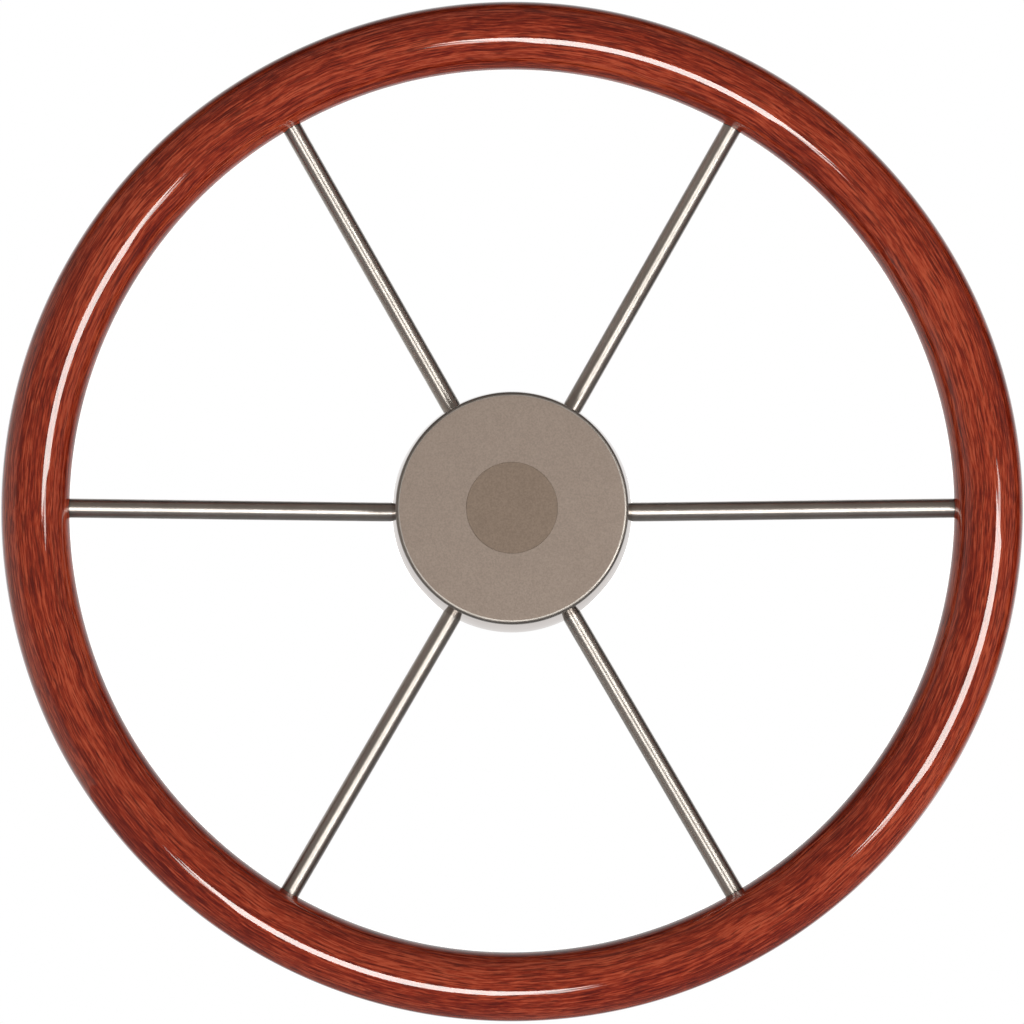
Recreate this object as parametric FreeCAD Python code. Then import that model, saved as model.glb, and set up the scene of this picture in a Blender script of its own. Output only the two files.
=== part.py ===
"""Six-spoke boat steering wheel: round wooden rim, bent steel spokes, turned boss and a press-on cap.

Millimetres. The wheel turns about Y, its front faces -Y and +Z is up.
The origin lies on the axis in the boss's rear face, where the shaft enters.
"""
import math
import os

import FreeCAD
import Part

V = FreeCAD.Vector

# Rim
RIM_OUTER_DIAMETER = 450.0
RIM_THICKNESS = 30.5
# How far the rim's middle plane stands ahead of the plane in which the spokes leave the boss
DISH = 30.0

# Spokes
SPOKE_COUNT = 6
SPOKE_DIAMETER = 8.5
# The bend's corner stands this far outside the cap's rear edge
SPOKE_BEND_GAP = 5.0
SPOKE_BEND_RADIUS = 30.0
SPOKE_IN_RIM = 12.0
SPOKE_IN_BOSS = 11.0
SOCKET_CLEARANCE = 0.05
SOCKET_END_GAP = 0.3
# Welds round the spokes: height above the boss, slope of their sides, and lip left at the spoke
WELD_HEIGHT = 2.0
WELD_SPREAD = 1.1
WELD_LIP = 0.3
WELD_FOOT_DEPTH = 2.5

# Boss, with the bore for a tapered and keyed shaft
BOSS_LENGTH = 32.0
BOSS_DIAMETER = 60.0
DRUM_LENGTH = 22.0
COLLAR_DIAMETER = 44.0
COLLAR_FILLET = 3.0
BOSS_CHAMFER = 1.0
# Spigot on the drum's front: it centres the carrier, and the shaft's washer and nut bear on it
SPIGOT_LENGTH = 2.0
SPIGOT_CLEARANCE = 0.1
BORE_DIAMETER = 19.05
BORE_TAPER = 12.0
KEYWAY_WIDTH = 4.76
KEYWAY_DEPTH = 2.4

# Cap: a pressed cup with a flared skirt, notched over the spokes
CAP_FACE_DIAMETER = 102.0
CAP_REAR_DIAMETER = 108.0
CAP_DEPTH = 30.0
CAP_WALL = 1.2
CAP_EDGE_RADIUS = 1.6
CAP_INNER_RADIUS = 1.0
NOTCH_CLEARANCE = 0.3

# Disc set in the middle of the cap's face
DISC_DIAMETER = 40.0
DISC_THICKNESS = 1.2
DISC_RECESS = 1.0
DISC_CLEARANCE = 0.15
DISC_CHAMFER = 0.2

# Carrier: the cup inside the cap, screwed to the boss, with a rubber ring that grips the cap
CARRIER_WEB = 4.0
CARRIER_WALL = 2.0
# Width of web left between the screws' heads and the hole for the shaft's nut
CARRIER_LAND = 2.0
CARRIER_CLEARANCE = 0.8
CARRIER_END_GAP = 0.1
GRIP_SECTION = 2.4
GRIP_CLEARANCE = 0.05

# Countersunk screws that hold the carrier
SCREW_COUNT = 3
# Distance of the screws from the boss's edge
SCREW_INSET = 6.0
SCREW_DIAMETER = 4.0
SCREW_HEAD_DIAMETER = 8.0
SCREW_IN_BOSS = 6.0
SCREW_CLEARANCE = 0.1
SCREW_KEY_WIDTH = 2.5
SCREW_KEY_DEPTH = 1.6
# Angle between the first screw and the first spoke
SCREW_FIRST_ANGLE = 30.0

# Edges are found by their size and place to within this much
SAME_PLACE = 1e-4

# Places along the axis
boss_front = -BOSS_LENGTH
nut_seat = boss_front - SPIGOT_LENGTH
drum_rear = boss_front + DRUM_LENGTH
spoke_plane = boss_front + DRUM_LENGTH / 2
rim_plane = spoke_plane - DISH
cap_front = spoke_plane - CAP_DEPTH
carrier_front = cap_front + CAP_WALL + CARRIER_END_GAP

# Distances from the axis
rim_section_radius = RIM_THICKNESS / 2
rim_mean_radius = RIM_OUTER_DIAMETER / 2 - rim_section_radius
spoke_radius = SPOKE_DIAMETER / 2
socket_radius = spoke_radius + SOCKET_CLEARANCE
bend_at = CAP_REAR_DIAMETER / 2 + SPOKE_BEND_GAP
boss_radius = BOSS_DIAMETER / 2
spoke_start = boss_radius - SPOKE_IN_BOSS
screw_circle_radius = boss_radius - SCREW_INSET
carrier_hole_radius = screw_circle_radius - SCREW_HEAD_DIAMETER / 2 - CARRIER_LAND
disc_seat_radius = DISC_DIAMETER / 2 + DISC_CLEARANCE
spoke_slope = math.atan2(DISH, rim_mean_radius - bend_at)
flare = (CAP_REAR_DIAMETER - CAP_FACE_DIAMETER) / 2 / CAP_DEPTH
flare_angle = math.atan(flare)

FRONT = V(0, -1, 0)
CENTRE = V(0, 0, 0)


def turned(points):
    """Solid turned about the axis from a closed outline of (radius, place along the axis)."""
    corners = [V(radius, y, 0) for radius, y in points]
    outline = Part.makePolygon(corners + corners[:1])
    return Part.Face(outline).revolve(CENTRE, V(0, 1, 0), 360)


def around(shape, angle):
    """Copy turned about the axis, counter-clockwise as seen from the front."""
    copy = shape.copy()
    copy.rotate(CENTRE, FRONT, angle)
    return copy


def spoke_angles():
    return [360.0 / SPOKE_COUNT * number for number in range(SPOKE_COUNT)]


def circle_edges(shape, radius, y):
    """Round edges of this radius that lie at this place along the axis."""
    found = []
    for edge in shape.Edges:
        curve = edge.Curve
        if isinstance(curve, Part.Circle) and abs(curve.Radius - radius) < SAME_PLACE:
            if (curve.Center - V(0, y, 0)).Length < SAME_PLACE:
                found.append(edge)
    return found


# The first spoke runs along +X: level out of the boss, one bend, then straight into the rim
outward = V(math.cos(spoke_slope), -math.sin(spoke_slope), 0)
bend_corner = V(bend_at, spoke_plane, 0)
tangent_length = SPOKE_BEND_RADIUS * math.tan(spoke_slope / 2)
run_to_rim = (rim_mean_radius - bend_at) / math.cos(spoke_slope) - rim_section_radius


def spoke():
    start = V(spoke_start, spoke_plane, 0)
    bend_start = bend_corner - V(tangent_length, 0, 0)
    bend_end = bend_corner + outward * tangent_length
    end = bend_corner + outward * (run_to_rim + SPOKE_IN_RIM)
    level = Part.makeCylinder(spoke_radius, bend_start.x - start.x, start, V(1, 0, 0))
    section = Part.Face(Part.Wire(Part.makeCircle(spoke_radius, bend_start, V(1, 0, 0))))
    bend_centre = bend_start - V(0, SPOKE_BEND_RADIUS, 0)
    bend = section.revolve(bend_centre, V(0, 0, -1), math.degrees(spoke_slope))
    slanted = Part.makeCylinder(spoke_radius, (end - bend_end).Length, bend_end, outward)
    return level.fuse([bend, slanted]).removeSplitter()


def rim():
    ring = Part.makeTorus(rim_mean_radius, rim_section_radius, V(0, rim_plane, 0), V(0, 1, 0))
    mouth = bend_corner + outward * (run_to_rim - rim_section_radius)
    depth = rim_section_radius + SPOKE_IN_RIM + SOCKET_END_GAP
    socket = Part.makeCylinder(socket_radius, depth, mouth, outward)
    return ring.cut([around(socket, angle) for angle in spoke_angles()])


def boss():
    collar_radius = COLLAR_DIAMETER / 2
    spigot_radius = carrier_hole_radius - SPIGOT_CLEARANCE
    body = turned([
        (0, nut_seat),
        (spigot_radius, nut_seat),
        (spigot_radius, boss_front),
        (boss_radius, boss_front),
        (boss_radius, drum_rear),
        (collar_radius, drum_rear),
        (collar_radius, 0),
        (0, 0),
    ])
    body = body.makeFillet(COLLAR_FILLET, circle_edges(body, collar_radius, drum_rear))
    rims = circle_edges(body, boss_radius, boss_front) + circle_edges(body, boss_radius, drum_rear)
    rims += circle_edges(body, collar_radius, 0)
    body = body.makeChamfer(BOSS_CHAMFER, rims)
    # Each weld is a cone whose foot starts inside the drum, so that it meets the curved side all round
    weld_length = WELD_FOOT_DEPTH + WELD_HEIGHT
    weld_top = socket_radius + WELD_LIP
    weld_foot = V(boss_radius - WELD_FOOT_DEPTH, spoke_plane, 0)
    weld = Part.makeCone(weld_top + weld_length * WELD_SPREAD, weld_top, weld_length, weld_foot, V(1, 0, 0))
    body = body.fuse([around(weld, angle) for angle in spoke_angles()])
    socket_start = spoke_start - SOCKET_END_GAP
    socket_length = boss_radius + 2 * WELD_HEIGHT - socket_start
    socket = Part.makeCylinder(socket_radius, socket_length, V(socket_start, spoke_plane, 0), V(1, 0, 0))
    cuts = [around(socket, angle) for angle in spoke_angles()]
    cuts += [tapered_bore(), keyway()]
    pilot_radius = SCREW_DIAMETER / 2 + SCREW_CLEARANCE
    pilot_depth = SCREW_IN_BOSS + SOCKET_END_GAP
    pilot = Part.makeCylinder(pilot_radius, pilot_depth, screw_seat(boss_front), V(0, 1, 0))
    cuts += [around(pilot, angle) for angle in screw_angles()]
    return body.cut(cuts).removeSplitter()


def tapered_bore():
    """Cone that is widest in the rear face and narrows towards the front by 1 in BORE_TAPER."""
    rear_radius = BORE_DIAMETER / 2
    front_radius = rear_radius + nut_seat / BORE_TAPER / 2
    return Part.makeCone(rear_radius, front_radius, -nut_seat, CENTRE, FRONT)


def keyway():
    """Slot along the top of the bore, with its floor parallel to the taper."""
    tilt = math.atan(1 / BORE_TAPER / 2)
    length = 2 * BOSS_LENGTH
    height = BORE_DIAMETER / 2 + KEYWAY_DEPTH
    slot = Part.makeBox(KEYWAY_WIDTH, length, height, V(-KEYWAY_WIDTH / 2, -length / 2, 0))
    slot.rotate(V(0, 0, height), V(1, 0, 0), math.degrees(tilt))
    return slot


def cap_outside(y):
    """Radius of the skirt's outer side at this place along the axis."""
    return CAP_FACE_DIAMETER / 2 + flare * (y - cap_front)


def cap_inside(y):
    return cap_outside(y) - CAP_WALL / math.cos(flare_angle)


def hub_cap():
    face_back = cap_front + CAP_WALL
    recess_floor = cap_front + DISC_RECESS
    recess_back = recess_floor + CAP_WALL
    cup = turned([
        (0, recess_floor),
        (disc_seat_radius, recess_floor),
        (disc_seat_radius, cap_front),
        (cap_outside(cap_front), cap_front),
        (cap_outside(spoke_plane), spoke_plane),
        (cap_inside(spoke_plane), spoke_plane),
        (cap_inside(face_back), face_back),
        (disc_seat_radius + CAP_WALL, face_back),
        (disc_seat_radius + CAP_WALL, recess_back),
        (0, recess_back),
    ])
    cup = cup.makeFillet(CAP_EDGE_RADIUS, circle_edges(cup, cap_outside(cap_front), cap_front))
    cup = cup.makeFillet(CAP_INNER_RADIUS, circle_edges(cup, cap_inside(face_back), face_back))
    notch_radius = spoke_radius + NOTCH_CLEARANCE
    notch_length = CAP_REAR_DIAMETER / 2
    notch = Part.makeCylinder(notch_radius, notch_length, V(boss_radius, spoke_plane, 0), V(1, 0, 0))
    return cup.cut([around(notch, angle) for angle in spoke_angles()])


def centre_disc():
    floor = cap_front + DISC_RECESS
    top = floor - DISC_THICKNESS
    disc = Part.makeCylinder(DISC_DIAMETER / 2, DISC_THICKNESS, V(0, floor, 0), FRONT)
    return disc.makeChamfer(DISC_CHAMFER, circle_edges(disc, DISC_DIAMETER / 2, top))


def screw_angles():
    return [SCREW_FIRST_ANGLE + 360.0 / SCREW_COUNT * number for number in range(SCREW_COUNT)]


def screw_seat(y):
    return V(screw_circle_radius, y, 0)


def grip_ring(section_radius):
    """Ring in the middle of the carrier's web, just clear of the cap's wall."""
    y = boss_front - CARRIER_WEB / 2
    reach = GRIP_SECTION / 2 + GRIP_CLEARANCE
    mean_radius = cap_inside(y) - reach / math.cos(flare_angle)
    return Part.makeTorus(mean_radius, section_radius, V(0, y, 0), V(0, 1, 0))


def cap_carrier():
    web_front = boss_front - CARRIER_WEB

    def outside(y):
        return cap_inside(y) - CARRIER_CLEARANCE

    cup = turned([
        (carrier_hole_radius, boss_front),
        (outside(boss_front), boss_front),
        (outside(carrier_front), carrier_front),
        (outside(carrier_front) - CARRIER_WALL, carrier_front),
        (outside(web_front) - CARRIER_WALL, web_front),
        (carrier_hole_radius, web_front),
    ])
    # The front edge is bevelled, clear of the rounded corner inside the cap
    cup = cup.makeChamfer(CAP_INNER_RADIUS, circle_edges(cup, outside(carrier_front), carrier_front))
    holes = [around(screw(SCREW_CLEARANCE, False), angle) for angle in screw_angles()]
    groove = grip_ring(GRIP_SECTION / 2 + GRIP_CLEARANCE)
    return cup.cut(holes + [groove])


def screw(margin, with_key):
    """One countersunk screw, or with a margin all round the hole that it needs."""
    web_front = boss_front - CARRIER_WEB
    shank_radius = SCREW_DIAMETER / 2
    head_radius = SCREW_HEAD_DIAMETER / 2
    head_height = head_radius - shank_radius
    head = Part.makeCone(head_radius + margin, shank_radius + margin, head_height,
                         screw_seat(web_front), V(0, 1, 0))
    length = CARRIER_WEB + SCREW_IN_BOSS
    shank = Part.makeCylinder(shank_radius + margin, length, screw_seat(web_front), V(0, 1, 0))
    body = head.fuse(shank)
    if with_key:
        body = body.cut(key_socket(screw_seat(web_front)))
    return body


def key_socket(place):
    """Hexagonal socket for the key, sunk along +Y."""
    corner = SCREW_KEY_WIDTH / 2 / math.cos(math.pi / 6)
    corners = []
    for number in range(7):
        turn = math.pi / 3 * number
        corners.append(place + V(corner * math.cos(turn), 0, corner * math.sin(turn)))
    return Part.Face(Part.makePolygon(corners)).extrude(V(0, SCREW_KEY_DEPTH, 0))


def carrier_screws():
    return Part.makeCompound([around(screw(0, True), angle) for angle in screw_angles()])


def all_pieces():
    pieces = {
        "rim": rim(),
        "boss": boss(),
        "hub_cap": hub_cap(),
        "centre_disc": centre_disc(),
        "cap_carrier": cap_carrier(),
        "grip_ring": grip_ring(GRIP_SECTION / 2),
        "carrier_screws": carrier_screws(),
    }
    first = spoke()
    for number, angle in enumerate(spoke_angles(), 1):
        pieces["spoke_%d" % number] = around(first, angle)
    return pieces


os.makedirs("parts", exist_ok=True)
for name, shape in all_pieces().items():
    shape.exportStep("parts/%s.step" % name)
    print("%-15s %9.0f mm3  %s" % (name, shape.Volume, "valid" if shape.isValid() else "NOT VALID"))
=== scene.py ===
import math

import bpy
import numpy as np
from mathutils import Matrix, Vector


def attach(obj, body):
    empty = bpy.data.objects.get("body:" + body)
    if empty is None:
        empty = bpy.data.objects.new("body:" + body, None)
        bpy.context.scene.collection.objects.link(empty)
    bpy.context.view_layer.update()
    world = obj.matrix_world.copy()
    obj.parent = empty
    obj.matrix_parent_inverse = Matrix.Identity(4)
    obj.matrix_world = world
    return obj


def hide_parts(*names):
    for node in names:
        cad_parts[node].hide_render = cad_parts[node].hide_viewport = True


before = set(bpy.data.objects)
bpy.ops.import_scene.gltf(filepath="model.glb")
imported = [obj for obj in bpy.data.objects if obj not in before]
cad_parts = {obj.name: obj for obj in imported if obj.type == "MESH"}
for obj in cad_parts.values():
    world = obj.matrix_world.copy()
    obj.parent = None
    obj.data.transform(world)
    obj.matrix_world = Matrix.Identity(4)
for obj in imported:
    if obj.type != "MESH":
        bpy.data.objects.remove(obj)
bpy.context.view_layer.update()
print("frame loaded")

fullTurn = 2 * math.pi
spokeCount = 6
# Angles round the axis, from the right and counter-clockwise for the viewer
spokeAngles = [fullTurn / spokeCount * number for number in range(spokeCount)]
mostNoise = (0.3, 0.7)              # nearly all values of a noise lie between these


# Meshes worked out with numpy

# Even angles round a full turn, without its end.
def anglesRound(count):
    return np.linspace(0, fullTurn, count, endpoint=False)


# Points at a radius from the wheel's axis, a depth along it and an angle round it:
# x = radius cos(angle), y = depth, z = radius sin(angle).
def placeRound(radius, depth, angle):
    places = np.broadcast_arrays(radius * np.cos(angle), depth, radius * np.sin(angle))
    return np.stack(places, -1)


# Profile of (radius, depth) turned about the wheel's axis: each of its points goes round once.
def turned(profile, angles):
    return placeRound(profile[:, 0, None], profile[:, 1, None], angles)


# Evenly spaced points of (radius, depth) on a straight line: start (1 - share) + end share, without its end.
def straight(start, end, count):
    share = np.linspace(0, 1, count, endpoint=False)[:, None]
    return np.array(start) * (1 - share) + np.array(end) * share


# Points of (radius, depth) on an arc: centre + radius (cos, sin), in degrees from outward towards the rear.
def arc(centre, radius, start, end, count):
    angle = np.radians(np.linspace(start, end, count))
    return np.stack([centre[0] + radius * np.cos(angle), centre[1] + radius * np.sin(angle)], -1)


# Quads over a grid points[i, j]. A closed direction joins its last line to its first, and poles close the
# first and last lines of i with triangles to their middle points. Also gives the row i of each face.
def gridMesh(name, points, closeU, closeV, poles=False):
    countU, countV = points.shape[:2]
    rows = np.arange(countU if closeU else countU - 1)
    columns = np.arange(countV if closeV else countV - 1)
    i, j = np.meshgrid(rows, columns, indexing="ij")
    nextI, nextJ = (i + 1) % countU, (j + 1) % countV
    corners = [i * countV + j, i * countV + nextJ, nextI * countV + nextJ, nextI * countV + j]
    faces = np.stack(corners, -1).reshape(-1, 4).tolist()
    rowOfFace = i.reshape(-1).tolist()
    vertices = points.reshape(-1, 3)
    if poles:
        beside = (columns + 1) % countV
        last = (countU - 1) * countV
        start = np.full(countV, len(vertices))
        faces += np.stack([beside, columns, start], -1).tolist()
        faces += np.stack([columns + last, beside + last, start + 1], -1).tolist()
        rowOfFace += [0] * countV + [countU - 2] * countV
        vertices = np.vstack([vertices, points[0].mean(0), points[-1].mean(0)])
    mesh = bpy.data.meshes.new(name)
    mesh.from_pydata(vertices.tolist(), [], faces)
    mesh.polygons.foreach_set("use_smooth", np.ones(len(mesh.polygons), bool))
    mesh.update()
    piece = bpy.data.objects.new(name, mesh)
    bpy.context.scene.collection.objects.link(piece)
    return piece, np.array(rowOfFace)


# Turns a closed mesh's faces over if its signed volume, the sum of a . (b x c) over its triangles, is
# negative.
def faceOutward(piece):
    mesh = piece.data
    mesh.calc_loop_triangles()
    corners = np.empty(len(mesh.loop_triangles) * 3, np.int32)
    mesh.loop_triangles.foreach_get("vertices", corners)
    places = np.empty(len(mesh.vertices) * 3, np.float32)
    mesh.vertices.foreach_get("co", places)
    a, b, c = places.reshape(-1, 3)[corners.reshape(-1, 3)].transpose(1, 0, 2).astype(float)
    if np.einsum("ij,ij->i", a, np.cross(b, c)).sum() < 0:
        mesh.flip_normals()


# Gives a piece its materials and edges, hangs it on the root body and hides the node that it stands for.
def finishPiece(piece, materials, node, sharpAngle):
    for material in materials:
        piece.data.materials.append(material)
    faceOutward(piece)
    piece.data.set_sharp_from_angle(angle=sharpAngle)
    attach(piece, "root")
    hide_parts(node)


# Material nodes

def setInput(tree, socket, value):
    if isinstance(value, bpy.types.NodeSocket):
        tree.links.new(value, socket)
    else:
        socket.default_value = value


def addNode(tree, kind, inputs, **settings):
    node = tree.nodes.new(kind)
    for key, value in settings.items():
        setattr(node, key, value)
    for key, value in inputs.items():
        setInput(tree, node.inputs[key], value)
    return node


def calculate(tree, operation, *values):
    node = addNode(tree, "ShaderNodeMath", dict(enumerate(values)), operation=operation)
    return node.outputs[0]


def multiply(tree, first, second):
    return calculate(tree, "MULTIPLY", first, second)


def subtract(tree, first, second):
    return calculate(tree, "SUBTRACT", first, second)


def addTogether(tree, *terms):
    total = terms[0]
    for term in terms[1:]:
        total = calculate(tree, "ADD", total, term)
    return total


# Length of the two sides of a right angle: the square root of their squares added up.
def lengthOf(tree, first, second):
    squares = addTogether(tree, multiply(tree, first, first), multiply(tree, second, second))
    return calculate(tree, "SQRT", squares)


# Carries a value from one range over to another, and holds it inside that.
def spread(tree, value, fromRange, toRange=(0.0, 1.0)):
    inputs = {"Value": value, "From Min": fromRange[0], "From Max": fromRange[1],
              "To Min": toRange[0], "To Max": toRange[1]}
    return addNode(tree, "ShaderNodeMapRange", inputs).outputs["Result"]


def colourRamp(tree, factor, stops):
    node = addNode(tree, "ShaderNodeValToRGB", {"Fac": factor})
    elements = node.color_ramp.elements
    while len(elements) < len(stops):
        elements.new(0.5)
    for element, (place, colour) in zip(elements, stops):
        element.position = place
        element.color = (*colour, 1.0)
    return node.outputs["Color"]


# A Mix node's colours are its inputs 6 and 7 and its output 2.
def mixColours(tree, factor, first, second):
    values = {0: factor, 6: first, 7: second}
    for key in (6, 7):
        if isinstance(values[key], tuple):
            values[key] = (*values[key], 1.0)
    return addNode(tree, "ShaderNodeMix", values, data_type="RGBA").outputs[2]


def objectPlace(tree):
    return addNode(tree, "ShaderNodeTexCoord", {}).outputs["Object"]


def splitPlace(tree, place):
    return addNode(tree, "ShaderNodeSeparateXYZ", {0: place}).outputs


def bump(tree, height, strength, distance):
    inputs = {"Height": height, "Strength": strength, "Distance": distance}
    return addNode(tree, "ShaderNodeBump", inputs).outputs["Normal"]


def newMaterial(name):
    material = bpy.data.materials.new(name)
    material.use_nodes = True
    tree = material.node_tree
    tree.nodes.clear()
    shader = addNode(tree, "ShaderNodeBsdfPrincipled", {})
    addNode(tree, "ShaderNodeOutputMaterial", {"Surface": shader.outputs["BSDF"]})
    return material, tree, shader


def newGroup(name, inputs, outputs):
    tree = bpy.data.node_groups.new(name, "ShaderNodeTree")
    for label, kind, value in inputs:
        socket = tree.interface.new_socket(label, in_out="INPUT", socket_type="NodeSocket" + kind)
        if value is not None:
            socket.default_value = value
    for label, kind in outputs:
        tree.interface.new_socket(label, in_out="OUTPUT", socket_type="NodeSocket" + kind)
    given = tree.nodes.new("NodeGroupInput").outputs
    result = tree.nodes.new("NodeGroupOutput").inputs
    return tree, given, result


def placeGroup(tree, group, inputs):
    node = addNode(tree, "ShaderNodeGroup", {}, node_tree=group)
    for label, value in inputs.items():
        setInput(tree, node.inputs[label], value)
    return node.outputs


# Place on a ring round the wheel's axis: direction from the axis, and distance outside and behind its middle
# circle.
def makeRingPlace():
    tree, given, result = newGroup(
        "ringPlace", [("Mean Radius", "Float", 0.2), ("Depth", "Float", 0.0)],
        [("Direction", "Vector"), ("Outward", "Float"), ("Backward", "Float")])
    x, y, z = splitPlace(tree, objectPlace(tree))
    flat = addNode(tree, "ShaderNodeCombineXYZ", {"X": x, "Z": z}).outputs[0]
    radius = addNode(tree, "ShaderNodeVectorMath", {0: flat}, operation="LENGTH")
    direction = addNode(tree, "ShaderNodeVectorMath", {0: flat}, operation="NORMALIZE")
    outward = subtract(tree, radius.outputs["Value"], given["Mean Radius"])
    setInput(tree, result["Direction"], direction.outputs["Vector"])
    setInput(tree, result["Outward"], outward)
    setInput(tree, result["Backward"], subtract(tree, y, given["Depth"]))
    return tree


# Noise that is drawn out round the ring: its cells are long along the ring and thin across it, with no seam,
# because the direction from the axis is itself two of the four noise coordinates. A slow sway moves it
# across.
def makeRingGrain():
    tree, given, result = newGroup(
        "ringGrain",
        [("Direction", "Vector", None), ("Outward", "Float", 0.0), ("Backward", "Float", 0.0),
         ("Along", "Float", 10.0), ("Across", "Float", 600.0), ("Detail", "Float", 2.0),
         ("Wander", "Float", 0.0)],
        [("Value", "Float")])
    inputs = {"Vector": given["Direction"], "Scale": 7.0, "Detail": 1.0}
    sway = addNode(tree, "ShaderNodeTexNoise", inputs).outputs["Fac"]
    shift = multiply(tree, subtract(tree, sway, 0.5), given["Wander"])
    outward = multiply(tree, addTogether(tree, given["Outward"], shift), given["Across"])
    backward = multiply(tree, subtract(tree, given["Backward"], shift), given["Across"])
    scaled = addNode(tree, "ShaderNodeVectorMath", {0: given["Direction"], "Scale": given["Along"]},
                     operation="SCALE")
    x, _, z = splitPlace(tree, scaled.outputs["Vector"])
    vector = addNode(tree, "ShaderNodeCombineXYZ", {"X": x, "Y": outward, "Z": z}).outputs[0]
    inputs = {"Vector": vector, "W": backward, "Scale": 1.0, "Detail": given["Detail"], "Roughness": 0.55}
    noise = addNode(tree, "ShaderNodeTexNoise", inputs, noise_dimensions="4D")
    setInput(tree, result["Value"], noise.outputs["Fac"])
    return tree


# Place beside the nearest spoke: along it, to its side and behind its middle line, and the distance from that
# line. The angle round the axis is folded into one sector, so every spoke is treated as the first one.
def makeSpokePlace():
    tree, given, result = newGroup(
        "spokePlace",
        [("Hub Depth", "Float", 0.0), ("Bend Radius", "Float", 0.06), ("Slope", "Float", 0.2)],
        [("Along", "Float"), ("Side", "Float"), ("Rise", "Float"), ("Distance", "Float")])
    x, y, z = splitPlace(tree, objectPlace(tree))
    radius = lengthOf(tree, x, z)
    half = math.pi / spokeCount
    folded = calculate(tree, "WRAP", calculate(tree, "ARCTAN2", z, x), half, -half)
    along = multiply(tree, radius, calculate(tree, "COSINE", folded))
    side = multiply(tree, radius, calculate(tree, "SINE", folded))
    beyond = calculate(tree, "MAXIMUM", subtract(tree, along, given["Bend Radius"]), 0.0)
    forward = multiply(tree, beyond, calculate(tree, "TANGENT", given["Slope"]))
    behindLine = subtract(tree, y, subtract(tree, given["Hub Depth"], forward))
    rise = multiply(tree, behindLine, calculate(tree, "COSINE", given["Slope"]))
    values = {"Along": along, "Side": side, "Rise": rise, "Distance": lengthOf(tree, side, rise)}
    for label, value in values.items():
        setInput(tree, result[label], value)
    return tree


# Soft clouds and a fine grit, both without direction, for blasted, moulded and handled surfaces.
def makeCloudAndGrit():
    tree, given, result = newGroup(
        "cloudAndGrit", [("Cloud Scale", "Float", 120.0), ("Grit Scale", "Float", 2500.0)],
        [("Cloud", "Float"), ("Grit", "Float")])
    place = objectPlace(tree)
    inputs = {"Vector": place, "Scale": given["Cloud Scale"], "Detail": 4.0, "Roughness": 0.6}
    cloud = addNode(tree, "ShaderNodeTexNoise", inputs).outputs["Fac"]
    inputs = {"Vector": place, "Scale": given["Grit Scale"], "Detail": 2.0}
    grit = addNode(tree, "ShaderNodeTexNoise", inputs).outputs["Fac"]
    setInput(tree, result["Cloud"], spread(tree, cloud, mostNoise))
    setInput(tree, result["Grit"], grit)
    return tree


ringPlace = makeRingPlace()
ringGrain = makeRingGrain()
spokePlace = makeSpokePlace()
cloudAndGrit = makeCloudAndGrit()
print("node groups made")


# Grain or marks that follow a ring whose place is given.
def grainRound(tree, ring, along, across, detail, wander):
    inputs = {label: ring[label] for label in ("Direction", "Outward", "Backward")}
    inputs.update({"Along": along, "Across": across, "Detail": detail, "Wander": wander})
    return placeGroup(tree, ringGrain, inputs)["Value"]


# Rim

rim = {
    "outerRadius": 0.225,
    "sectionRadius": 0.01525,
    "middleDepth": -0.051,          # the rim's middle plane, on the wheel's axis
    "unevenness": 0.00006,          # sanding by hand leaves the section a little out of round
    # Waves of the unevenness: cycles round the rim, cycles round its section, phase and size
    "waves": [(5, 0, 1.3, 1.0), (9, 1, 0.0, 0.7), (14, -1, 0.6, 0.4)],
    "waveTop": 2.5,                 # more than the waves' sizes added up, so the rim is never too thick
    "stepsRound": 720,
    "stepsAcross": 96,
    "lightWood": (0.420, 0.068, 0.028),
    "middleWood": (0.265, 0.026, 0.008),
    "darkWood": (0.120, 0.006, 0.0015),
    "woodTones": (0.15, 0.50, 0.85),    # tones at which the wood is dark, middle and light
    # Layers of the grain: cells round the rim, cells per metre across it, detail and weight in the tone
    "grain": {
        "patches": (1.5, 70.0, 2.0, 0.40),
        "bands": (2.5, 260.0, 3.0, 0.25),
        "streaks": (4.0, 1050.0, 5.0, 0.80),
        "mottle": (32.0, 1650.0, 5.0, 0.90),
        "pores": (15.0, 1600.0, 2.0, None),
    },
    "toneRange": (0.92, 1.40),      # weighted sum of the layers, from no tone to full tone
    "grainWander": 0.0025,          # how far the grain drifts across the rim
    "poreColour": (0.060, 0.003, 0.001),
    "poreRange": (0.53, 0.60),      # noise at which a pore begins and at which it is full
    "poreShare": 0.66,
    "poreDepth": 0.0002,
    "poreBump": 0.25,
    "woodRoughness": (0.42, 0.60),
    "jointColour": (0.010, 0.004, 0.003),
    "jointWidth": 0.0007,           # dark line where a spoke enters the wood
    "jointReach": 0.002,            # it ends this far inside the rim's middle circle
    "varnishRoughness": 0.025,
    "varnishIndex": 1.5,
}
rimMeanRadius = rim["outerRadius"] - rim["sectionRadius"]

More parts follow.
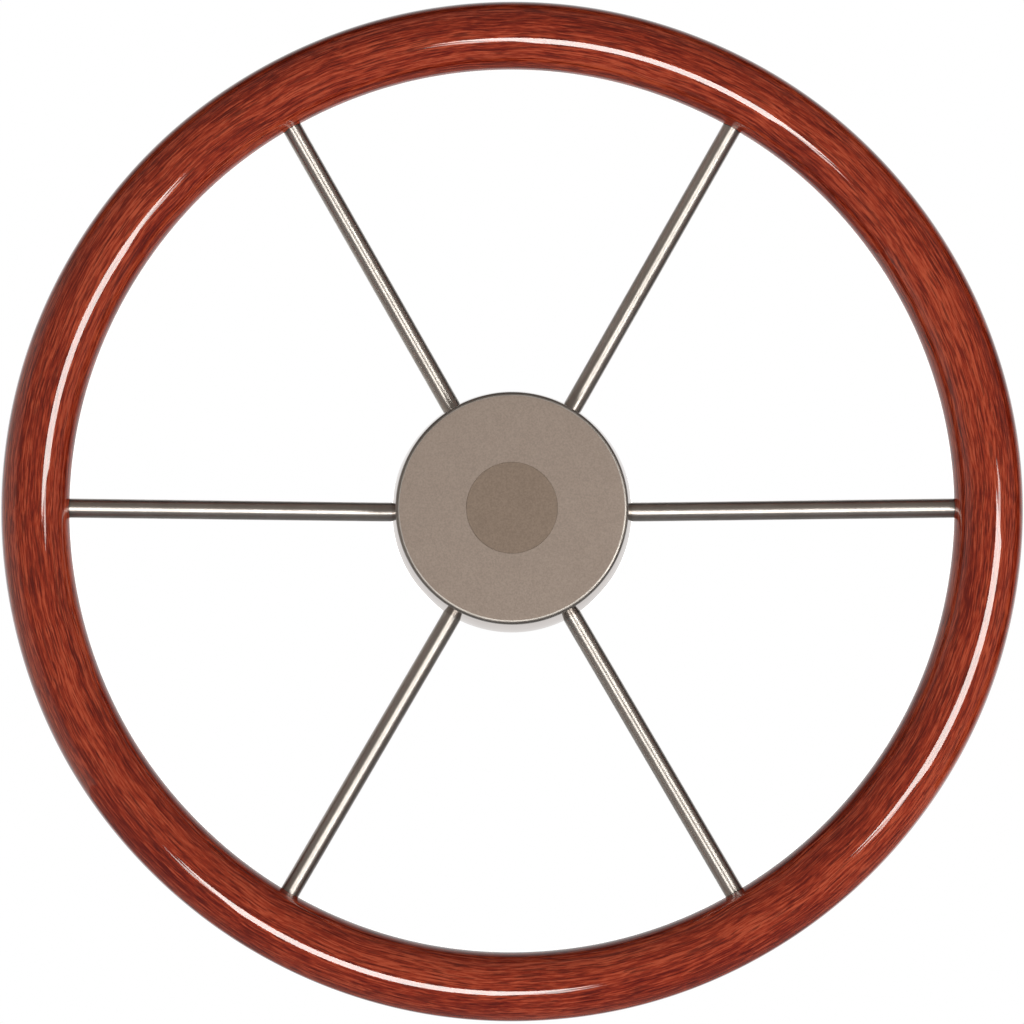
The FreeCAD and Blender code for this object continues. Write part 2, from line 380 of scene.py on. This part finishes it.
# The wood darkens where the spokes enter it, so their values stand here too
spokes = {
    "radius": 0.00425,
    "startRadius": 0.019,
    "hubDepth": -0.021,             # the plane in which the spokes leave the boss
    "bendRadius": 0.059,            # the bend's corner, from the axis
    "bendCurve": 0.030,
    "intoRim": 0.012,
    "stepsRound": 48,
    "levelSteps": 12,
    "bendSteps": 14,
    "runSteps": 60,
    "steelColour": (0.71, 0.675, 0.64),
    "dullColour": (0.65, 0.615, 0.58),
    "roughness": 0.54,
    "roughnessSway": 0.02,
    "drawnOut": 1.0,                # lights are drawn out along the rod, because its marks run round it
    "marksPerMetre": 900.0,
    "marksAcross": 60.0,            # far fewer per metre, so that each mark runs round the rod
    "hazeScale": 70.0,
    "hazeGrit": 3000.0,
    "sharpAngle": 0.6,
}
spokeSlope = math.atan2(spokes["hubDepth"] - rim["middleDepth"], rimMeanRadius - spokes["bendRadius"])


# Where a point lies beside the nearest spoke of this wheel.
def besideSpoke(tree):
    return placeGroup(tree, spokePlace, {
        "Hub Depth": spokes["hubDepth"], "Bend Radius": spokes["bendRadius"], "Slope": spokeSlope})


# Ring: at angle a round the axis and b round the section, radius R + s cos(b) and depth d + s sin(b). The
# section's radius s carries slow waves, which keep it just under its full size.
def makeRim(materials):
    a = anglesRound(rim["stepsRound"])[:, None]
    b = anglesRound(rim["stepsAcross"])[None, :]
    waves = sum(size * np.sin(along * a + across * b + phase) for along, across, phase, size in rim["waves"])
    section = rim["sectionRadius"] + rim["unevenness"] * (waves - rim["waveTop"])
    radius = rimMeanRadius + section * np.cos(b)
    depth = rim["middleDepth"] + section * np.sin(b)
    piece, _ = gridMesh("rimWood", placeRound(radius, depth, a), True, True)
    finishPiece(piece, materials, "rim", math.pi)


# Red wood under a clear gloss: the layers of grain give its tone, and pores darken and dent it.
def makeMahogany():
    material, tree, shader = newMaterial("varnishedMahogany")
    ring = placeGroup(tree, ringPlace, {"Mean Radius": rimMeanRadius, "Depth": rim["middleDepth"]})
    layers, parts = {}, []
    for name, (along, across, detail, weight) in rim["grain"].items():
        layers[name] = grainRound(tree, ring, along, across, detail, rim["grainWander"])
        if weight is not None:
            parts.append(multiply(tree, layers[name], weight))
    tone = spread(tree, addTogether(tree, *parts), rim["toneRange"])
    colours = (rim["darkWood"], rim["middleWood"], rim["lightWood"])
    wood = colourRamp(tree, tone, list(zip(rim["woodTones"], colours)))
    poreMask = spread(tree, layers["pores"], rim["poreRange"])
    wood = mixColours(tree, multiply(tree, poreMask, rim["poreShare"]), wood, rim["poreColour"])
    edge = spokes["radius"] + rim["jointWidth"]
    joint = spread(tree, besideSpoke(tree)["Distance"], (edge, edge + rim["jointWidth"]), (1.0, 0.0))
    inside = spread(tree, ring["Outward"], (-rim["jointReach"], 0.0), (1.0, 0.0))
    wood = mixColours(tree, multiply(tree, joint, inside), wood, rim["jointColour"])
    roughness = spread(tree, layers["streaks"], mostNoise, rim["woodRoughness"])
    dents = bump(tree, subtract(tree, 1.0, poreMask), rim["poreBump"], rim["poreDepth"])
    setInput(tree, shader.inputs["Base Color"], wood)
    setInput(tree, shader.inputs["Roughness"], roughness)
    setInput(tree, shader.inputs["Normal"], dents)
    shader.inputs["Specular IOR Level"].default_value = 0.0
    shader.inputs["Coat Weight"].default_value = 1.0
    shader.inputs["Coat Roughness"].default_value = rim["varnishRoughness"]
    shader.inputs["Coat IOR"].default_value = rim["varnishIndex"]
    return material


makeRim([makeMahogany()])
print("rim made")


# Spokes

# Middle line of the first spoke as (radius, depth), with the angle by which it leans forward at each point:
# level out of the boss, an arc, then straight towards the rim's middle circle.
def spokeLine():
    bend, curve = spokes["bendRadius"], spokes["bendCurve"]
    tangent = curve * math.tan(spokeSlope / 2)
    levelEnd = bend - tangent
    toMiddle = (rimMeanRadius - bend) / math.cos(spokeSlope)
    reach = toMiddle + spokes["intoRim"] - rim["sectionRadius"]
    level = np.linspace(spokes["startRadius"], levelEnd, spokes["levelSteps"], endpoint=False)
    turn = np.linspace(0, spokeSlope, spokes["bendSteps"])
    run = np.linspace(tangent, reach, spokes["runSteps"])[1:]
    radius = np.concatenate([level, levelEnd + curve * np.sin(turn), bend + run * math.cos(spokeSlope)])
    forward = np.concatenate([0 * level, curve * (1 - np.cos(turn)), run * math.sin(spokeSlope)])
    lean = np.concatenate([0 * level, turn, spokeSlope + 0 * run])
    return radius, spokes["hubDepth"] - forward, lean


# Map of a rod whose faces are listed row by row: u = row / rows along it, v = column / columns round it.
def addRodMap(piece, rows):
    columns = spokes["stepsRound"]
    i, j = np.meshgrid(np.arange(rows - 1), np.arange(columns), indexing="ij")
    corners = [np.stack(pair, -1) for pair in ((i, j), (i, j + 1), (i + 1, j + 1), (i + 1, j))]
    places = np.stack(corners, 2).reshape(-1, 2) / (rows - 1.0, columns)
    rodMap = piece.data.uv_layers.new(name="rodMap")
    every = np.zeros((len(piece.data.loops), 2), np.float32)
    every[:len(places)] = places
    rodMap.data.foreach_set("uv", every.reshape(-1))


# Rod: a circle carried along the middle line and square to it, then turned by the spoke's angle about the
# axis. At angle b round the rod a point stands r cos(b) to its side and r sin(b) behind it.
def makeSpoke(number, angle, materials):
    radius, depth, lean = (values[:, None] for values in spokeLine())
    b = anglesRound(spokes["stepsRound"])[None, :]
    side = spokes["radius"] * np.cos(b) + 0 * radius
    rise = spokes["radius"] * np.sin(b)
    outward = radius + rise * np.sin(lean)
    points = [outward * math.cos(angle) - side * math.sin(angle), depth + rise * np.cos(lean),
              outward * math.sin(angle) + side * math.cos(angle)]
    piece, _ = gridMesh("spokeRod_%d" % number, np.stack(points, -1), False, True, poles=True)
    addRodMap(piece, len(radius))
    finishPiece(piece, materials, "spoke_%d" % number, spokes["sharpAngle"])


# Polished rod: fine marks round it, a faint haze of handling, and lights drawn out along its length.
def makePolishedSteel():
    material, tree, shader = newMaterial("polishedSteel")
    beside = besideSpoke(tree)
    across = [multiply(tree, beside[label], spokes["marksAcross"]) for label in ("Side", "Rise")]
    along = multiply(tree, beside["Along"], spokes["marksPerMetre"])
    inputs = {"X": along, "Y": across[0], "Z": across[1]}
    vector = addNode(tree, "ShaderNodeCombineXYZ", inputs).outputs["Vector"]
    inputs = {"Vector": vector, "Scale": 1.0, "Detail": 2.0}
    marks = addNode(tree, "ShaderNodeTexNoise", inputs).outputs["Fac"]
    inputs = {"Cloud Scale": spokes["hazeScale"], "Grit Scale": spokes["hazeGrit"]}
    haze = placeGroup(tree, cloudAndGrit, inputs)["Cloud"]
    colour = mixColours(tree, haze, spokes["dullColour"], spokes["steelColour"])
    sway = spokes["roughnessSway"]
    roughness = addTogether(tree, spread(tree, marks, mostNoise, (-sway, sway)),
                            spread(tree, haze, (0.0, 1.0), (sway, -sway)), spokes["roughness"])
    tangent = addNode(tree, "ShaderNodeTangent", {}, direction_type="UV_MAP", uv_map="rodMap")
    shader.inputs["Metallic"].default_value = 1.0
    shader.inputs["Anisotropic"].default_value = spokes["drawnOut"]
    setInput(tree, shader.inputs["Base Color"], colour)
    setInput(tree, shader.inputs["Roughness"], roughness)
    setInput(tree, shader.inputs["Tangent"], tangent.outputs["Tangent"])
    return material


polishedSteel = makePolishedSteel()
for number, angle in enumerate(spokeAngles, 1):
    makeSpoke(number, angle, [polishedSteel])
print("spokes made")


# Hub cap, centre disc and boss

cap = {
    "frontDepth": -0.051,
    "rearDepth": -0.021,
    "faceRadius": 0.051,
    "rearRadius": 0.054,
    "flareEase": 0.6,               # the skirt flares this share more at its front and less at its rear
    "wall": 0.0012,
    "edgeRadius": 0.0016,
    "innerEdgeRadius": 0.0010,
    "discSeatRadius": 0.02015,
    "discRecess": 0.0010,
    "seatLip": 0.00005,             # the seat's front edge is broken by this much
    "notchRadius": 0.00455,
    "stepsRound": 288,
    "notchSteps": 33,
    "poleRadius": 0.002,            # inside this circle the face is closed by triangles
    "besideNotch": 1.04,            # the next angle beside a notch, as a share of its half width
    "sharpAngle": 0.5,
    "faceColour": (0.228, 0.189, 0.164),
    "faceRoughness": 0.70,
    # Polished by turning. The glance is the share of light kept where the metal is seen nearly edge on
    "edge": {
        "colour": (0.25, 0.232, 0.216), "glance": (1.0, 1.0, 1.0), "roughness": 0.44,
        "marksRound": 4.0, "marksPerMetre": 1200.0, "markDepth": 0.000004,
    },
    "skirt": {
        "colour": (0.65, 0.63, 0.61), "glance": (0.80, 0.765, 0.75), "roughness": 0.05,
        "marksRound": 4.0, "marksPerMetre": 1200.0, "markDepth": 0.000004,
    },
}
capDepth = cap["rearDepth"] - cap["frontDepth"]
capFlare = cap["rearRadius"] - cap["faceRadius"]
capFrontSlope = capFlare / capDepth * (1 + cap["flareEase"])
capFrontAngle = math.atan(capFrontSlope)


# Angles round the axis: even steps, and closer ones over both arcs of each notch and just beside it.
def capAngles():
    even = anglesRound(cap["stepsRound"])
    across = np.cos(np.linspace(0, math.pi, cap["notchSteps"]))
    arcHalf = np.arcsin(cap["notchRadius"] / cap["rearRadius"] * across)
    near = np.concatenate([arcHalf, arcHalf[[0, -1]] * cap["besideNotch"]])
    every = np.concatenate([even] + [angle + near for angle in spokeAngles]) % fullTurn
    return np.unique(np.round(every, 6))


# Rear edge of the skirt at each angle: level, less the half circle sqrt(n^2 - aside^2) over each spoke.
def notchedRear(radius, angles):
    edge = np.full(len(angles), cap["rearDepth"])
    for spokeAngle in spokeAngles:
        aside = radius * np.sin(angles - spokeAngle)
        near = (np.cos(angles - spokeAngle) > 0) & (np.abs(aside) < cap["notchRadius"])
        height = np.sqrt(np.clip(cap["notchRadius"] ** 2 - aside ** 2, 0, None))
        edge = np.where(near, cap["rearDepth"] - height, edge)
    return edge


# Rows of the skirt in the given shares from one depth to the notched rear. With t the share of the cap's
# depth, the radius is face + flare (t + e t (1 - t)) less an offset: a cone whose slope eases to the rear.
def skirtRows(start, offset, shares, angles):
    rear = notchedRear(cap["rearRadius"] - offset, angles)
    depth = start + (rear[None, :] - start) * shares[:, None]
    t = (depth - cap["frontDepth"]) / capDepth
    radius = cap["faceRadius"] + capFlare * (t + cap["flareEase"] * t * (1 - t)) - offset
    return placeRound(radius, depth, angles)


# Cup: recess, face and rounded edge turned from a profile, then the skirt's rows, and back along the inside.
# The last number of each line and arc is its count of points.
def makeHubCap(materials):
    pole, seat, front, wall = cap["poleRadius"], cap["discSeatRadius"], cap["frontDepth"], cap["wall"]
    floor, lip = front + cap["discRecess"], cap["seatLip"]
    edge, inner, edgePoints = cap["edgeRadius"], cap["innerEdgeRadius"], 12
    slope, halfTurn = math.degrees(capFrontAngle), math.tan(math.pi / 4 - capFrontAngle / 2)
    edgeStart = cap["faceRadius"] - edge * halfTurn
    outside = np.concatenate([
        straight((pole, floor), (seat, floor), 8),
        straight((seat, floor), (seat, front + lip), 3),
        straight((seat, front + lip), (seat + lip, front), 1),
        straight((seat + lip, front), (edgeStart, front), 16),
        arc((edgeStart, front + edge), edge, -90, -slope, edgePoints)])
    slantWall = wall / math.cos(capFrontAngle)
    back, floorBack, seatBack = front + wall, floor + wall, seat + wall
    innerStart = cap["faceRadius"] + capFrontSlope * wall - slantWall - inner * halfTurn
    inside = np.concatenate([
        arc((innerStart, back + inner), inner, -slope, -90, 6),
        straight((innerStart, back), (seatBack, back), 6),
        straight((seatBack, back), (seatBack, floorBack), 2),
        straight((seatBack, floorBack), (pole, floorBack), 6),
        [[pole, floorBack]]])
    angles = capAngles()
    shares = np.concatenate([np.linspace(0.05, 0.9, 18), [0.95, 0.985, 1.0]])
    outerRows = skirtRows(outside[-1, 1], 0.0, shares, angles)
    innerRows = skirtRows(inside[0, 1], slantWall, shares[::-1], angles)
    points = np.concatenate([turned(outside, angles), outerRows, innerRows, turned(inside, angles)])
    piece, rowOfFace = gridMesh("hubCapCup", points, False, True, poles=True)
    skirtStart = len(outside)
    edgeRow, rearRow = skirtStart - edgePoints, skirtStart + len(outerRows)
    places = [rowOfFace > rearRow, rowOfFace >= skirtStart, rowOfFace >= edgeRow]
    index = np.select(places, [3, 2, 1], 0)
    piece.data.polygons.foreach_set("material_index", index.astype(np.int32))
    finishPiece(piece, materials, "hub_cap", cap["sharpAngle"])


disc = {
    "radius": 0.02013,
    "frontDepth": -0.0512,
    "rearDepth": -0.0500,
    "bevel": 0.00006,
    "stepsRound": 256,
    "poleRadius": 0.001,            # inside this circle the faces are closed by triangles
    "sharpAngle": 0.5,
    "colour": (0.171, 0.134, 0.108),
    "roughness": 0.68,
}


# Thin disc turned from its profile, with a small bevel round its front.
def makeCentreDisc(materials):
    radius, front, rear, bevel = disc["radius"], disc["frontDepth"], disc["rearDepth"], disc["bevel"]
    pole = disc["poleRadius"]
    profile = np.concatenate([
        straight((pole, front), (radius - bevel, front), 10),
        straight((radius - bevel, front), (radius, front + bevel), 3),
        straight((radius, front + bevel), (radius, rear), 3),
        straight((radius, rear), (pole, rear), 8),
        [[pole, rear]]])
    points = turned(profile, anglesRound(disc["stepsRound"]))
    piece, _ = gridMesh("centreDiscPlate", points, False, True, poles=True)
    finishPiece(piece, materials, "centre_disc", disc["sharpAngle"])


blasting = {
    "cloudScale": 150.0,
    "gritScale": 1300.0,
    "cloudShare": 0.3,
    "gritShare": 0.7,
    "colourShares": (0.86, 1.14),   # the darkest and the lightest grit, as shares of the colour
    "roughnessSway": 0.03,
    "gritBump": 0.25,
    "gritDepth": 0.0001,
}


# Blasted steel: an even fine grit and a faint mottle.
def makeSatinSteel(name, colour, roughness):
    material, tree, shader = newMaterial(name)
    inputs = {"Cloud Scale": blasting["cloudScale"], "Grit Scale": blasting["gritScale"]}
    finish = placeGroup(tree, cloudAndGrit, inputs)
    cloud = multiply(tree, finish["Cloud"], blasting["cloudShare"])
    grit = multiply(tree, spread(tree, finish["Grit"], mostNoise), blasting["gritShare"])
    low, high = (tuple(share * value for value in colour) for share in blasting["colourShares"])
    colours = mixColours(tree, addTogether(tree, cloud, grit), low, high)
    sway = blasting["roughnessSway"]
    roughnesses = spread(tree, finish["Cloud"], (0.0, 1.0), (roughness - sway, roughness + sway))
    shader.inputs["Metallic"].default_value = 1.0
    setInput(tree, shader.inputs["Base Color"], colours)
    setInput(tree, shader.inputs["Roughness"], roughnesses)
    dents = bump(tree, finish["Grit"], blasting["gritBump"], blasting["gritDepth"])
    setInput(tree, shader.inputs["Normal"], dents)
    return material


turning = {
    "cloudScale": 90.0,
    "gritScale": 2000.0,
    "dullShare": 0.88,              # share of the colour left where it is dulled
    "smoothShare": 0.8,             # share of the roughness left where it is smoothest
    "markShare": 0.3,               # what the marks add to the roughness, as a share of it
    "markRange": (0.35, 0.65),
    "markBump": 0.3,
}


# Steel worked on a lathe: marks that run round the axis, spaced in radius on flat faces and in depth on round
# ones. They and a soft cloud both change its roughness, and the cloud dulls its colour.
def makeTurnedSteel(name, finish):
    material, tree, shader = newMaterial(name)
    ring = placeGroup(tree, ringPlace, {"Mean Radius": 0.0, "Depth": 0.0})
    marks = grainRound(tree, ring, finish["marksRound"], finish["marksPerMetre"], 2.0, 0.0)
    inputs = {"Cloud Scale": turning["cloudScale"], "Grit Scale": turning["gritScale"]}
    cloud = placeGroup(tree, cloudAndGrit, inputs)["Cloud"]
    dull = tuple(turning["dullShare"] * value for value in finish["colour"])
    rough = finish["roughness"]
    smoothToRough = spread(tree, cloud, (0.0, 1.0), (turning["smoothShare"] * rough, rough))
    fromMarks = spread(tree, marks, turning["markRange"], (0.0, turning["markShare"] * rough))
    shader.inputs["Metallic"].default_value = 1.0
    shader.inputs["Specular Tint"].default_value = (*finish["glance"], 1.0)
    setInput(tree, shader.inputs["Base Color"], mixColours(tree, cloud, dull, finish["colour"]))
    setInput(tree, shader.inputs["Roughness"], addTogether(tree, smoothToRough, fromMarks))
    setInput(tree, shader.inputs["Normal"], bump(tree, marks, turning["markBump"], finish["markDepth"]))
    return material


boss = {
    "colour": (0.72, 0.71, 0.69), "glance": (1.0, 1.0, 1.0), "roughness": 0.42,
    "marksRound": 1.5, "marksPerMetre": 1500.0, "markDepth": 0.00004,
}
turnedSteel = makeTurnedSteel("turnedSteel", boss)
makeHubCap([
    makeSatinSteel("satinFace", cap["faceColour"], cap["faceRoughness"]),
    makeTurnedSteel("polishedEdge", cap["edge"]), makeTurnedSteel("polishedSkirt", cap["skirt"]),
    turnedSteel])
makeCentreDisc([makeSatinSteel("satinDisc", disc["colour"], disc["roughness"])])
print("cap and disc made")


# Boss, carrier, grip ring and screws keep their own shapes

carrier = {"colour": (0.020, 0.020, 0.022), "roughness": 0.50, "gritScale": 900.0}
gripRing = {"colour": (0.011, 0.011, 0.011), "roughness": 0.75, "gritScale": 1800.0}
screws = {"colour": (0.60, 0.59, 0.57), "roughness": 0.24}
moulding = {
    "cloudScale": 110.0,
    "lighter": 1.7,                 # the lightest clouds, as a multiple of the colour
    "smoother": 0.06,
    "rougher": 0.08,
    "gritBump": 0.2,
    "gritDepth": 0.0001,
}


# Moulded plastic or rubber: a fine even skin, a little lighter and duller where it clouds.
def makeMoulded(name, finish):
    material, tree, shader = newMaterial(name)
    inputs = {"Cloud Scale": moulding["cloudScale"], "Grit Scale": finish["gritScale"]}
    skin = placeGroup(tree, cloudAndGrit, inputs)
    colour, roughness = finish["colour"], finish["roughness"]
    lighter = tuple(moulding["lighter"] * value for value in colour)
    fromTo = (roughness - moulding["smoother"], roughness + moulding["rougher"])
    setInput(tree, shader.inputs["Base Color"], mixColours(tree, skin["Cloud"], colour, lighter))
    setInput(tree, shader.inputs["Roughness"], spread(tree, skin["Cloud"], (0.0, 1.0), fromTo))
    dents = bump(tree, skin["Grit"], moulding["gritBump"], moulding["gritDepth"])
    setInput(tree, shader.inputs["Normal"], dents)
    return material


# Puts one material in every slot of a node that keeps its own shape.
def paintNode(node, material):
    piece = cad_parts[node]
    if not piece.material_slots:
        piece.data.materials.append(material)
    for place in piece.material_slots:
        place.material = material


paintNode("boss", turnedSteel)
paintNode("cap_carrier", makeMoulded("blackNylon", carrier))
paintNode("grip_ring", makeMoulded("blackRubber", gripRing))
paintNode("carrier_screws", makeSatinSteel("screwSteel", screws["colour"], screws["roughness"]))
print("inner pieces painted")


# Studio

ground = {
    "height": -1.2,
    "halfWidth": 2.0,
    "steps": 9,
    "colour": (0.86, 0.855, 0.84),
    "roughness": 0.9,
    "shownWhite": 0.9,              # the share that the camera sees as plain white, the rest takes the shadow
    "inMetal": 0.26,                # its brightness in polished metal
}


# Flat grid of x and y at one height. The camera sees it nearly white, with the wheel's shadow, and metal sees
# it dimmer.
def makeFloor():
    side = np.linspace(-ground["halfWidth"], ground["halfWidth"], ground["steps"])
    x, y = np.meshgrid(side, side, indexing="ij")
    points = np.stack([x, y, 0 * x + ground["height"]], -1)
    floor, _ = gridMesh("studioFloor", points, False, False)
    if floor.data.polygons[0].normal.z < 0:
        floor.data.flip_normals()
    material, tree, shader = newMaterial("paleFloor")
    shader.inputs["Base Color"].default_value = (*ground["colour"], 1.0)
    shader.inputs["Roughness"].default_value = ground["roughness"]
    rays = addNode(tree, "ShaderNodeLightPath", {}).outputs
    byCamera = rays["Is Camera Ray"]
    byMetal = addTogether(tree, rays["Is Glossy Ray"], rays["Is Transmission Ray"])
    strength = addTogether(tree, byCamera, multiply(tree, byMetal, ground["inMetal"]))
    seen = addTogether(tree, multiply(tree, byCamera, ground["shownWhite"]), byMetal)
    white = addNode(tree, "ShaderNodeEmission", {"Color": (1, 1, 1, 1), "Strength": strength})
    both = addNode(tree, "ShaderNodeMixShader", {0: seen, 1: shader.outputs[0], 2: white.outputs[0]})
    setInput(tree, tree.nodes["Material Output"].inputs["Surface"], both.outputs[0])
    floor.data.materials.append(material)


# What surrounds the wheel. Places are shares of a direction's depth, from 0 straight towards the viewer to 1
# straight behind the wheel
surroundings = {
    "frontTone": (0.33, 0.295, 0.265),
    "frontEnd": 0.22,
    "middleTone": (0.370, 0.333, 0.300),
    "middleAt": 0.46,
    "sideTone": (0.028, 0.024, 0.021),
    "sideFrom": 0.60,
    "whiteRange": (0.72, 0.92),     # metal sees the white backdrop come in between these
    "slopeInGloss": 0.25,           # how much brighter it is straight below than level
    "slopeOnColours": 0.65,         # what is added to that for the light on the colours
    "glowColour": (0.70, 0.65, 0.59),   # a pale wall to the left of the wheel
    "glowTowards": (-0.965, 0.20, -0.17),
    "glowRange": (0.70, 0.84),      # cosines of the angle from its middle where it ends and where it is full
}


# The camera sees plain white everywhere. Colours and metal see a soft warm grey in front, brighter below than
# above, with a pale wall at the left and darkness beside the wheel, and metal sees white again behind it.
def makeWorld():
    world = bpy.data.worlds.new("studioWorld")
    bpy.context.scene.world = world
    world.use_nodes = True
    tree = world.node_tree
    tree.nodes.clear()
    direction = addNode(tree, "ShaderNodeTexCoord", {}).outputs["Generated"]
    _, y, z = splitPlace(tree, direction)
    share = spread(tree, y, (-1.0, 1.0))
    front, middle, dark = (surroundings[tone] for tone in ("frontTone", "middleTone", "sideTone"))
    tone = colourRamp(tree, share, [
        (0.0, front), (surroundings["frontEnd"], front), (surroundings["middleAt"], middle),
        (surroundings["sideFrom"], dark)])
    rays = addNode(tree, "ShaderNodeLightPath", {}).outputs
    slope = calculate(tree, "MULTIPLY_ADD", rays["Is Diffuse Ray"], surroundings["slopeOnColours"],
                      surroundings["slopeInGloss"])
    strength = calculate(tree, "MULTIPLY_ADD", multiply(tree, z, -1.0), slope, 1.0)
    scaled = addNode(tree, "ShaderNodeVectorMath", {0: tone, "Scale": strength}, operation="SCALE")
    inputs = {0: direction, 1: tuple(Vector(surroundings["glowTowards"]).normalized())}
    nearness = addNode(tree, "ShaderNodeVectorMath", inputs, operation="DOT_PRODUCT").outputs["Value"]
    glow = spread(tree, nearness, surroundings["glowRange"])
    tone = mixColours(tree, glow, scaled.outputs["Vector"], surroundings["glowColour"])
    byMetal = addTogether(tree, rays["Is Glossy Ray"], rays["Is Transmission Ray"])
    whiteInMetal = multiply(tree, byMetal, spread(tree, share, surroundings["whiteRange"]))
    seenWhite = addTogether(tree, rays["Is Camera Ray"], whiteInMetal)
    colour = mixColours(tree, seenWhite, tone, (1.0, 1.0, 1.0))
    background = addNode(tree, "ShaderNodeBackground", {"Color": colour, "Strength": 1.0})
    addNode(tree, "ShaderNodeOutputWorld", {"Surface": background.outputs[0]})


lampColour = (1.0, 0.978, 0.935)
# Direction round the axis and away from it in degrees, distance, length round the axis and width in metres,
# and two brightnesses: what gloss and metal mirror, and what falls on the colours
lamps = {
    "rightStrip": {"round": 346.0, "away": 32.5, "distance": 3.0, "length": 1.08, "width": 1.08,
                   "mirrored": 17.0, "falling": 13.4},
    "rightTaper": {"round": 346.0, "away": 32.5, "distance": 3.0, "length": 1.46, "width": 0.36,
                   "mirrored": 10.0, "falling": 0.0},
    "lowStrip": {"round": 250.0, "away": 22.0, "distance": 6.0, "length": 1.85, "width": 1.68,
                 "mirrored": 19.5, "falling": 13.2},
    "lowTaper": {"round": 250.0, "away": 22.0, "distance": 6.0, "length": 2.50, "width": 0.64,
                 "mirrored": 11.0, "falling": 0.0},
    "rearPanel": {"round": 270.0, "away": 172.0, "distance": 3.0, "length": 3.00, "width": 3.00,
                  "mirrored": 0.0, "falling": 2.4},
    "rearStrip": {"round": 90.0, "away": 180.0, "distance": 3.0, "length": 0.90, "width": 0.50,
                  "mirrored": 2.0, "falling": 0.0},
}


# Rectangle of light that faces the rim's centre, with its length lying round the wheel's axis. It is either
# mirrored in gloss and metal or falls on the colours, so that the two can be set apart.
def makeLamp(name, values, kind):
    data = bpy.data.lights.new(name, "AREA")
    data.shape = "RECTANGLE"
    data.color = lampColour
    data.size, data.size_y = values["length"], values["width"]
    data.energy = values[kind] * math.pi * values["length"] * values["width"]
    lamp = bpy.data.objects.new(name + "_" + kind, data)
    bpy.context.scene.collection.objects.link(lamp)
    turn, away = math.radians(values["round"]), math.radians(values["away"])
    aim = Vector((math.sin(away) * math.cos(turn), -math.cos(away), math.sin(away) * math.sin(turn)))
    along = Vector((-math.sin(turn), 0, math.cos(turn)))
    matrix = Matrix((along, aim.cross(along), aim)).transposed().to_4x4()
    matrix.translation = aim * values["distance"] + Vector((0, rim["middleDepth"], 0))
    lamp.matrix_world = matrix
    lamp.visible_camera = False
    lamp.visible_glossy = kind == "mirrored"
    lamp.visible_diffuse = kind == "falling"


view = {
    "distance": 1.70,
    "below": 3.6,                   # degrees under the wheel's axis
    "pixelsPerMetre": 2271.0,       # at the rim's middle plane
    "pictureWidth": 1024.0,
    "sensorWidth": 36.0,
    "aimX": 0.0,
    "aimZ": -0.0019,
}


# Camera a little under the wheel's axis, aimed at the middle of the rim.
def makeCamera():
    data = bpy.data.cameras.new("photoCamera")
    data.sensor_width = view["sensorWidth"]
    data.lens = view["sensorWidth"] * view["distance"] * view["pixelsPerMetre"] / view["pictureWidth"]
    camera = bpy.data.objects.new("photoCamera", data)
    bpy.context.scene.collection.objects.link(camera)
    below = math.radians(view["below"])
    target = Vector((view["aimX"], rim["middleDepth"], view["aimZ"]))
    camera.location = target + view["distance"] * Vector((0, -math.cos(below), -math.sin(below)))
    camera.rotation_euler = (target - camera.location).to_track_quat("-Z", "Y").to_euler()
    bpy.context.scene.camera = camera


makeFloor()
makeWorld()
for lampName, lampValues in lamps.items():
    for lampKind in ("mirrored", "falling"):
        if lampValues[lampKind] > 0:
            makeLamp(lampName, lampValues, lampKind)
makeCamera()
bpy.context.scene.view_settings.view_transform = "Standard"
print("studio made")
